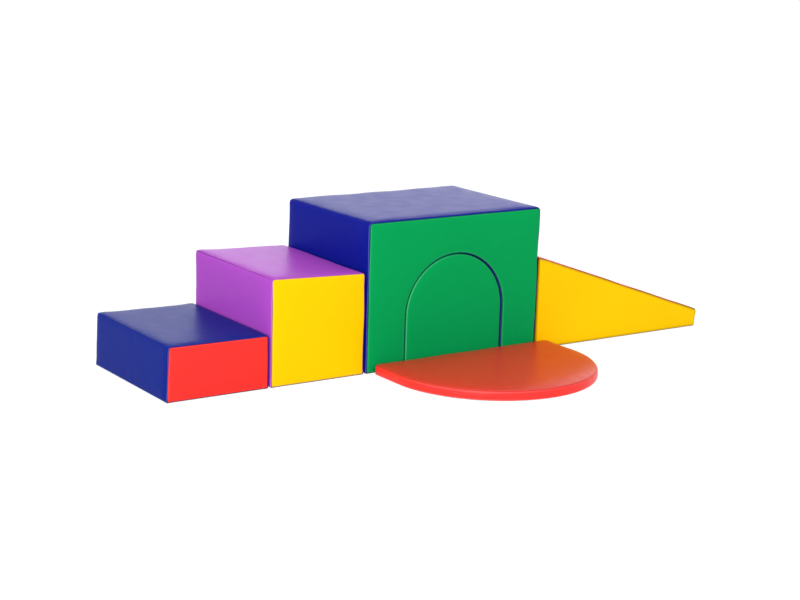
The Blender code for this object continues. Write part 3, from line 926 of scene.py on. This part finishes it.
def add_cover(
    name, form, place, dressing, slot_part=BACK_PANEL, drawn=1.0, snug=None, plump=1.0, shaded=1.0
):
    """A block's whole cover and foam.

    Dressing lists (piece, part, colour, CAD node, test of a face's x). Drawn says how far the seams draw
    the cover in and plump how far it may swell, over the usual. Snug is the part that hardly swells, and
    shaded how much wider than usual the seams' painted shade is.
    """
    scene = bpy.context.scene
    covers, zips = scene.climber_covers, scene.climber_zips
    swell(form, name + "_cloth", snug, plump)
    bmesh.ops.transform(form, matrix=place, verts=form.verts)
    bmesh.ops.recalc_face_normals(form, faces=form.faces)
    low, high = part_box(f"{name}_zip")
    ease = Vector((covers.ease,) * 3)
    low, high = low - ease, high + ease

    foam = form.copy()
    shrink_foam(foam, drawn, snug)
    cut_slot(foam, slot_part, low, high)
    piece = add_piece(f"{name}_foam", foam, finish_for("foam", "foam"), name, [f"{name}_foam_core"])

    fine = divided(form)
    form.free()
    sew(fine, drawn, snug, shaded)
    surface = BVHTree.FromBMesh(fine)
    for piece_name, part, colour, node, test in dressing:
        made = part_of(fine, part, test)
        if part == slot_part:
            floor = cut_slot(made, part, low, high, zips.lip)
            bmesh.ops.delete(made, geom=floor, context="FACES")
        thicken(made, covers.vinyl)
        kind = "rubber" if part == BASE else "mat" if name == "landing_mat" else "vinyl"
        finish = finish_for(kind, colour)
        piece = add_piece(f"{name}_{piece_name}", made, finish, name, [f"{name}_{node}"])
    fine.free()
    add_stitches(name, surface, low, high)


# Zips and strips


def add_stitches(name, surface, low, high):
    """A row of stitches round the zip's slot, laid on the cover."""
    zips = bpy.context.scene.climber_zips
    margin = zips.stitch_margin
    corner = low - (RIGHT + UP) * margin
    length, width = high.x - low.x + 2 * margin, high.z - low.z + 2 * margin
    size = Matrix.Diagonal((zips.stitch_length / 2, zips.stitch / 2, zips.stitch / 2, 1))
    bm = bmesh.new()
    for direction, run in ((RIGHT, length), (UP, width), (-RIGHT, length), (-UP, width)):
        count = max(round(run / zips.stitch_pitch), 1)
        for step in range(count):
            point = corner + direction * run * (step + 0.5) / count
            hit, normal = surface.ray_cast(point + OUT * STITCH_RAY, -OUT)[:2]
            if hit is None:
                raise RuntimeError(f"a stitch of {name} misses the cover")
            turn = Matrix((direction, normal.cross(direction).normalized(), normal)).transposed().to_4x4()
            matrix = Matrix.Translation(hit + normal * zips.stitch / 5) @ turn @ size
            bmesh.ops.create_icosphere(bm, subdivisions=1, radius=1, matrix=matrix)
        corner = corner + direction * run
    add_piece(f"{name}_zip_stitches", bm, finish_for("woven", "thread"), name, [])


def add_rod(bm, matrix, radius, length, sides):
    bmesh.ops.create_cone(
        bm, cap_ends=True, segments=sides, radius1=radius, radius2=radius, depth=length, matrix=matrix
    )


def add_zip(name):
    """A zip's tape, its teeth and the rails beside them."""
    zips = bpy.context.scene.climber_zips
    low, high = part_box(f"{name}_zip")
    length = high.x - low.x
    bed = Vector(((low.x + high.x) / 2, low.y, (low.z + high.z) / 2))
    bm = bmesh.new()
    size = Matrix.Diagonal((length, zips.tape, high.z - low.z, 1))
    bmesh.ops.create_cube(bm, size=1, matrix=Matrix.Translation(bed + OUT * zips.tape / 2) @ size)
    bevel(bm, bm.edges[:], zips.tape / 4, 2)
    along = Matrix.Rotation(math.pi / 2, 4, "Y")
    rail = zips.tooth * TOOTH_RISE, length - zips.tooth, RAIL_SIDES
    for side in (-1, 1):
        point = bed + OUT * zips.tape + UP * side * zips.tooth_length * RAIL_PLACE
        add_rod(bm, Matrix.Translation(point) @ along, *rail)
    squeeze = Matrix.Diagonal((TOOTH_SQUEEZE, 1, 1, 1))
    for step in range(int((length - 2 * zips.tooth) / zips.tooth_pitch)):
        side = 1 if step % 2 else -1
        point = Vector((low.x + zips.tooth + zips.tooth_pitch * (step + 0.5), bed.y, bed.z))
        point += OUT * (zips.tape + zips.tooth * TOOTH_RISE) + UP * side * zips.tooth_length * TOOTH_PLACE
        add_rod(bm, Matrix.Translation(point) @ squeeze, zips.tooth / 2, zips.tooth_length, TOOTH_SIDES)
    add_piece(f"{name}_zip_tape", bm, finish_for("woven", "tape"), name, [f"{name}_zip"])


def add_plate(bm, place, start, end, thickness, edge, middle=0.0):
    """A metal plate. Start and end are (x, half width, corner radius, corner steps)."""
    plate = bmesh.new()
    ends = ((start, -1), (start, 1), (end, 1), (end, -1))
    rounded_face(plate, [(x, middle + side * half, *rounding) for (x, half, *rounding), side in ends])
    deepen(plate, thickness)
    bevel(plate, rim_edges(plate, True), edge, 2)
    bmesh.ops.translate(plate, verts=plate.verts, vec=place)
    bmesh.ops.recalc_face_normals(plate, faces=plate.faces)
    merge_into(bm, plate)


def add_slider(name):
    """A zip's slider: a tapered plate on two walls, with a pull on top, on a body of its own."""
    body = f"{name}_zip_slider"
    low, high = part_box(body)
    half, top = (high.z - low.z) / 2, high.y - low.y - SHEET
    foot = Vector((low.x, low.y, (low.z + high.z) / 2))
    bm = bmesh.new()
    narrow, wide = PLATE_CORNERS
    add_plate(
        bm, foot + OUT * top, (0, half * PLATE_TAPER, *narrow), (PLATE, half, *wide), SHEET, PLATE_EDGE
    )
    wall = [(x, SHEET / 2, *WALL_CORNER) for x in (SHEET, PLATE - SHEET)]
    for side in (-1, 1):
        add_plate(bm, foot, *wall, top + WALL_RISE, THIN_EDGE, side * (half - SHEET / 2))
    held, free = PULL_CORNERS
    pull = (PLATE - PULL_LAP, PULL, *held), (high.x - low.x, PULL * PULL_FLARE, *free)
    add_plate(bm, foot + OUT * (top + PULL_RISE), *pull, PULL_SHEET, THIN_EDGE)
    add_piece(f"{name}_zip_pull", bm, finish_for("metal", "metal"), body, [body])


def add_strip(node, body):
    """One strip of hook or loop tape, with rounded corners and a sewn border."""
    low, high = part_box(node)
    size, middle = high - low, (low + high) / 2
    bm = bmesh.new()
    bmesh.ops.create_cube(bm, size=1, matrix=Matrix.Translation(middle) @ Matrix.Diagonal((*size, 1)))
    corners = [edge for edge in bm.edges if abs(edge.verts[0].co.x - edge.verts[1].co.x) > size.x / 2]
    bevel(bm, corners, STRIP_CORNER, CORNER_STEPS)
    broad = [face for face in bm.faces if abs(face.normal.x) > PLAINLY]
    for inset, sink in STRIP_INSETS:
        bmesh.ops.inset_individual(bm, faces=broad, thickness=inset, depth=sink * size.x)
    add_piece(node + "_tape", bm, finish_for("pile", "pile"), body, [node])


# Blocks


def cover_room(name):
    """Left, front, width, height and depth of a block's cover, taken on its outside."""
    covers = bpy.context.scene.climber_covers
    low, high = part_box(f"{name}_foam_core")
    skin = covers.vinyl + covers.ease
    return low.x - skin, low.y - skin, high.x - low.x + 2 * skin, high.z + skin, high.y - low.y + 2 * skin


def panels(band, panel):
    """The pieces that a block's cover is sewn from, in those colours."""
    return [
        ("vinyl_band", BAND, band, "band", None),
        ("vinyl_front", FRONT_PANEL, panel, "front_panel", None),
        ("vinyl_back", BACK_PANEL, panel, "back_panel", None),
        ("grip_base", BASE, "rubber", "base", None),
    ]


def ramp(value, start, end):
    """0 up to the start, 1 at the end and more past it."""
    return max((value - start) / (end - start), 0)


def add_block(
    name, band, panel, slump=0.0, rise=0.0, lean=0.0, sewn_corners=False, nose_height=None, nose=None,
    undercut=0.0, seam_step=SEAM_STEP, wrap=0.0, shaded=1.0
):
    """A block with the same outline all through.

    Slump lowers its top at the right, rise lifts it at the left, and lean pushes its left foot out. Nose
    is the radius at a right end of the nose's height, and undercut cuts that back at the floor. Wrap is
    how far the front panel goes round the left edge, and shaded is as in add_cover.
    """
    covers = bpy.context.scene.climber_covers
    left, front, width, height, depth = cover_room(name)
    draw, radius = covers.draw_in, covers.corner_radius
    depth -= 2 * draw
    right_height = nose_height or height - slump
    side, top = round(height / covers.cell), round(width / covers.cell)
    # The top corners lend the top two edges each
    cuts = {"side": side, "top": top, "foot": top + 4}
    corners = outline(draw, width - draw, 0, height + rise - draw, (radius, CORNER_STEPS))
    corners[2] = (width - draw, right_height - draw, nose or radius, CORNER_STEPS)
    form = block_form(corners, cuts, depth, covers.roll_radius)
    mark_parts(form, depth, covers.roll_radius, seam_step, wrap=wrap)
    arcs = corner_arcs(corners)[: 1 if nose else 2]
    mark_seams(form, arcs, sewn_corners)
    tighten(form, arcs, covers.tight_radius)
    for vert in form.verts:
        share = 2 * vert.co.x / width - 1
        vert.co.x -= lean * ramp(vert.co.z / height, LEAN_TOP, LEAN_TOP - 1) * ramp(share, 0, -1)
        vert.co.x -= undercut * ramp(vert.co.z, right_height, 0) * ramp(share, 0, 1)
        if wrap:
            tip = ramp(vert.co.y, wrap, 0) * ramp(vert.co.x, 2 * radius, 0)
            vert.co.z -= WRAP_TUCK * tip * ramp(vert.co.z / height, WRAP_TUCK_FROM, 1)
    place = Matrix.Translation((left, front + draw, 0))
    add_cover(name, form, place, panels(band, panel), shaded=shaded)


# Operators


class CLIMBER_OT_low_step(bpy.types.Operator):
    """Low step in a navy band and red panels"""

    bl_idname = "climber.low_step"
    bl_label = "Low Step"

    def execute(self, context):
        add_block("low_step", "navy", "red", rise=0.003, lean=0.006)
        return {"FINISHED"}


class CLIMBER_OT_mid_step(bpy.types.Operator):
    """Mid step in a purple band and yellow panels, its top a little lower on the right"""

    bl_idname = "climber.mid_step"
    bl_label = "Mid Step"

    def execute(self, context):
        add_block("mid_step", "purple", "yellow", slump=0.008, rise=0.003, sewn_corners=True)
        return {"FINISHED"}


class CLIMBER_OT_slide_wedge(bpy.types.Operator):
    """Slide wedge in a red band and yellow panels, with a blunt nose"""

    bl_idname = "climber.slide_wedge"
    bl_label = "Slide Wedge"

    def execute(self, context):
        # The seams' painted shade is three times as wide here, for a dark line along the slope's edge
        add_block(
            "slide_wedge", "red", "yellow", nose_height=0.055, nose=0.012, undercut=0.006,
            seam_step=WEDGE_SEAM_STEP, wrap=0.016, shaded=3.0
        )
        return {"FINISHED"}


class CLIMBER_OT_tunnel_block(bpy.types.Operator):
    """Crawl-through block in a blue band and lining and green panels"""

    bl_idname = "climber.tunnel_block"
    bl_label = "Crawl-Through Block"

    def execute(self, context):
        covers = context.scene.climber_covers
        name = "tunnel_block"
        left, front, width, height, depth = cover_room(name)
        draw, snug = covers.draw_in, covers.snug_draw
        depth -= 2 * draw
        corners = outline(draw, width - draw, 0, height - draw, (covers.tall_radius, CORNER_STEPS))
        # The lining's box takes in its rolled edges, so the arch is worked out from the plug that fills it
        plug_low, plug_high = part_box("arch_plug_band")
        gap_left, gap_right, gap_top = PLUG_GAPS
        start, end, top = plug_low.x - gap_left - left, plug_high.x + gap_right - left, plug_high.z + gap_top
        rounding = ((end - start) / 2 + snug, ARCH_STEPS)
        arch = outline(start - snug, end + snug, 0, top + snug, rounding)
        cuts, arch_cuts = {"side": 26, "top": 28, "foot": 1, "leg": 11}, {"side": 12, "top": 1, "foot": 1}
        form = block_form(corners, cuts, depth, covers.tall_roll, (arch, arch_cuts))
        margin = 2 * covers.arch_radius
        mark_parts(form, depth, covers.tall_roll, SEAM_STEP, (start - margin, end + margin, top + margin))
        mark_seams(form, corner_arcs(corners))
        middle = left + width / 2
        # Each leg has a base of its own
        dressing = panels("blue", "green")[:-1]
        dressing.insert(1, ("vinyl_lining", LINING, "blue", "arch_lining", None))
        for side, test in (("left", lambda x: x < middle), ("right", lambda x: x > middle)):
            dressing.append((f"{side}_grip_base", BASE, "rubber", f"{side}_base", test))
        add_cover(name, form, Matrix.Translation((left, front + draw, 0)), dressing, snug=LINING)
        return {"FINISHED"}


class CLIMBER_OT_arch_plug(bpy.types.Operator):
    """Plug of the arch, green all over"""

    bl_idname = "climber.arch_plug"
    bl_label = "Arch Plug"

    def execute(self, context):
        covers = context.scene.climber_covers
        name = "arch_plug"
        left, front, width, height, depth = cover_room(name)
        draw, snug, roll = covers.draw_in, covers.snug_draw, covers.arch_radius
        depth -= 2 * draw
        corners = outline(snug, width - snug, 0, height + covers.plug_rise, (width / 2 - snug, PLUG_STEPS))
        form = block_form(corners, {"side": 12, "top": 1, "foot": PLUG_STEPS}, depth, roll)
        mark_parts(form, depth, roll, PLUG_SEAM_STEP)
        mark_seams(form, [])
        place = Matrix.Translation((left, front + draw, 0))
        add_cover(name, form, place, panels("green", "green"), drawn=0.5, snug=BAND)
        return {"FINISHED"}


class CLIMBER_OT_landing_mat(bpy.types.Operator):
    """Half-round landing mat, red all over"""

    bl_idname = "climber.landing_mat"
    bl_label = "Landing Mat"

    def execute(self, context):
        covers = context.scene.climber_covers
        name = "landing_mat"
        left, front, width, height, depth = cover_room(name)
        draw = covers.draw_in
        thickness = height - draw
        arc, rear = (width / 2 - draw, MAT_STEPS), (MAT_CORNER - draw, CORNER_STEPS)
        corners = outline(draw, width - draw, draw, depth - draw, arc, rear)
        form = mat_form(corners, {"side": 8, "top": 40, "foot": 40}, thickness)
        mark_parts(form, thickness, covers.mat_roll, MAT_SEAM_STEP, mat=True)
        mark_seams(form, [])
        # The form stands on its straight side, and is laid down with its front up
        laid = Matrix(((1, 0, 0), (0, 0, -1), (0, -1, 0))).to_4x4()
        dressing = [
            ("vinyl_rim", BAND, "red", "rim_band", None),
            ("vinyl_top", FRONT_PANEL, "mat_red", "top_panel", None),
            ("grip_base", BASE, "rubber", "base", None),
        ]
        place = Matrix.Translation((left, front + depth, thickness)) @ laid
        add_cover(name, form, place, dressing, slot_part=BAND, drawn=0.3, plump=2.5)
        return {"FINISHED"}


class CLIMBER_OT_zips(bpy.types.Operator):
    """Zips of the six covers, with their sliders"""

    bl_idname = "climber.zips"
    bl_label = "Zips"

    def execute(self, context):
        for name in ("tunnel_block", "mid_step", "low_step", "slide_wedge", "arch_plug", "landing_mat"):
            add_zip(name)
            add_slider(name)
        return {"FINISHED"}


class CLIMBER_OT_strips(bpy.types.Operator):
    """Hook and loop strips on the blocks' sides"""

    bl_idname = "climber.strips"
    bl_label = "Hook and Loop Strips"

    def execute(self, context):
        for body, nodes in frame["record"]["behaviour"]["bodies"].items():
            for node in nodes:
                if "_strip_" in node:
                    add_strip(node, body)
        return {"FINISHED"}


class CLIMBER_OT_stage(bpy.types.Operator):
    """White floor, soft light and the camera"""

    bl_idname = "climber.stage"
    bl_label = "Stage"

    def execute(self, context):
        scene = context.scene
        studio = scene.climber_studio
        scene.view_settings.view_transform = "Standard"
        bm = bmesh.new()
        bmesh.ops.create_grid(bm, x_segments=2, y_segments=2, size=studio.floor_size / 2)
        floor = object_of(bm, "studio_floor")
        bm.free()
        floor.data.materials.append(floor_finish(studio))
        add_lamp("key_lamp", *KEY_LAMP, studio.key_power)
        add_lamp("back_lamp", *BACK_LAMP, studio.back_power)
        scene.world = sky(studio)
        scene.camera = photo_camera(studio)
        return {"FINISHED"}


def add_lamp(name, place, size, power):
    """A soft lamp aimed at the middle of the climber."""
    lamp = bpy.data.lights.new(name, "AREA")
    lamp.shape, lamp.energy = "ELLIPSE", power
    lamp.size, lamp.size_y = size
    holder = bpy.data.objects.new(name, lamp)
    bpy.context.scene.collection.objects.link(holder)
    holder.location = place
    holder.rotation_euler = (Vector(place) - LAMP_AIM).to_track_quat("Z", "Y").to_euler()
    holder.visible_camera = False


def end_in(nodes, output, lighting, seen):
    """Ends the nodes in one shader for the light and one for camera, glossy and transmission rays."""
    path = nodes.add("LightPath").outputs
    share = path["Is Camera Ray"]
    for name in ("Is Glossy Ray", "Is Transmission Ray"):
        share = nodes.feed(nodes.add("Math", operation="MAXIMUM"), share, path[name]).outputs["Value"]
    mix = nodes.feed(nodes.add("MixShader"), share, lighting, seen)
    nodes.feed(nodes.add(output), surface=mix.outputs["Shader"])


def floor_finish(studio):
    """White for the camera, with the object's shadow in it, and pale for the light that bounces off it."""
    material = bpy.data.materials.new("studio_white")
    nodes = Nodes(material)
    nodes.tree.nodes.clear()
    pale = nodes.feed(nodes.add("BsdfDiffuse"), color=(0.8, 0.8, 0.8, 1)).outputs["BSDF"]
    thin = nodes.feed(nodes.add("BsdfDiffuse"), color=(studio.floor_shade,) * 3 + (1,)).outputs["BSDF"]
    glow = nodes.feed(nodes.add("Emission"), strength=studio.floor_white).outputs["Emission"]
    both = nodes.feed(nodes.add("AddShader"), thin, glow).outputs["Shader"]
    end_in(nodes, "OutputMaterial", pale, both)
    return material


def sky(studio):
    """White where it is seen, and for the light on the object brighter at the sides than above."""
    world = bpy.data.worlds.new("studio_sky")
    nodes = Nodes(world)
    nodes.tree.nodes.clear()
    direction = nodes.add("TexCoord").outputs["Generated"]
    height = nodes.feed(nodes.add("SeparateXYZ"), vector=direction).outputs["Z"]
    fade = nodes.feed(nodes.add("MapRange"), value=height, to_min=studio.sky_side, to_max=studio.sky_top)
    dim, white = (
        nodes.feed(nodes.add("Background"), color=(1, 1, 1, 1), strength=strength).outputs["Background"]
        for strength in (fade.outputs["Result"], 1)
    )
    end_in(nodes, "OutputWorld", dim, white)
    return world


def photo_camera(studio):
    """The camera at the photograph's place and angle."""
    data = bpy.data.cameras.new("photo_camera")
    data.sensor_fit, data.sensor_width, data.lens = "HORIZONTAL", SENSOR_WIDTH, studio.lens
    data.clip_end = VIEW_END
    data.dof.use_dof = False
    camera = bpy.data.objects.new("photo_camera", data)
    bpy.context.scene.collection.objects.link(camera)
    cos, sin = math.cos(studio.azimuth), math.sin(studio.azimuth)
    level, rise = math.cos(studio.elevation), math.sin(studio.elevation)
    back, right = Vector((sin * level, -cos * level, rise)), Vector((cos, sin, 0))
    up = back.cross(right)
    cos, sin = math.cos(studio.roll), math.sin(studio.roll)
    turn = Matrix((right * cos + up * sin, up * cos - right * sin, back)).transposed()
    camera.matrix_world = Matrix.Translation(studio.camera_place) @ turn.to_4x4()
    return camera


OPERATORS = (
    CLIMBER_OT_low_step,
    CLIMBER_OT_mid_step,
    CLIMBER_OT_tunnel_block,
    CLIMBER_OT_arch_plug,
    CLIMBER_OT_slide_wedge,
    CLIMBER_OT_landing_mat,
    CLIMBER_OT_zips,
    CLIMBER_OT_strips,
    CLIMBER_OT_stage,
)


class CLIMBER_PT_panel(bpy.types.Panel):
    """The climber's pieces and settings"""

    bl_idname = "CLIMBER_PT_panel"
    bl_label = "Soft Play Climber"
    bl_space_type = "VIEW_3D"
    bl_region_type = "UI"
    bl_category = "Climber"

    def draw(self, context):
        for operator in OPERATORS:
            self.layout.operator(operator.bl_idname)
        for name, kind in SETTINGS.items():
            box = self.layout.box()
            for setting in kind.__annotations__:
                box.prop(getattr(context.scene, name), setting)


SETTINGS = {
    "climber_colours": ClimberColours,
    "climber_covers": ClimberCovers,
    "climber_zips": ClimberZips,
    "climber_studio": ClimberStudio,
}


def register():
    for kind in (*SETTINGS.values(), *OPERATORS, CLIMBER_PT_panel):
        bpy.utils.register_class(kind)
    for name, kind in SETTINGS.items():
        setattr(bpy.types.Scene, name, PointerProperty(type=kind))


def unregister():
    for name in SETTINGS:
        delattr(bpy.types.Scene, name)
    for kind in reversed((*SETTINGS.values(), *OPERATORS, CLIMBER_PT_panel)):
        bpy.utils.unregister_class(kind)


def main():
    register()
    for operator in OPERATORS:
        group, name = operator.bl_idname.split(".")
        getattr(getattr(bpy.ops, group), name)()


if __name__ == "__main__":
    main()
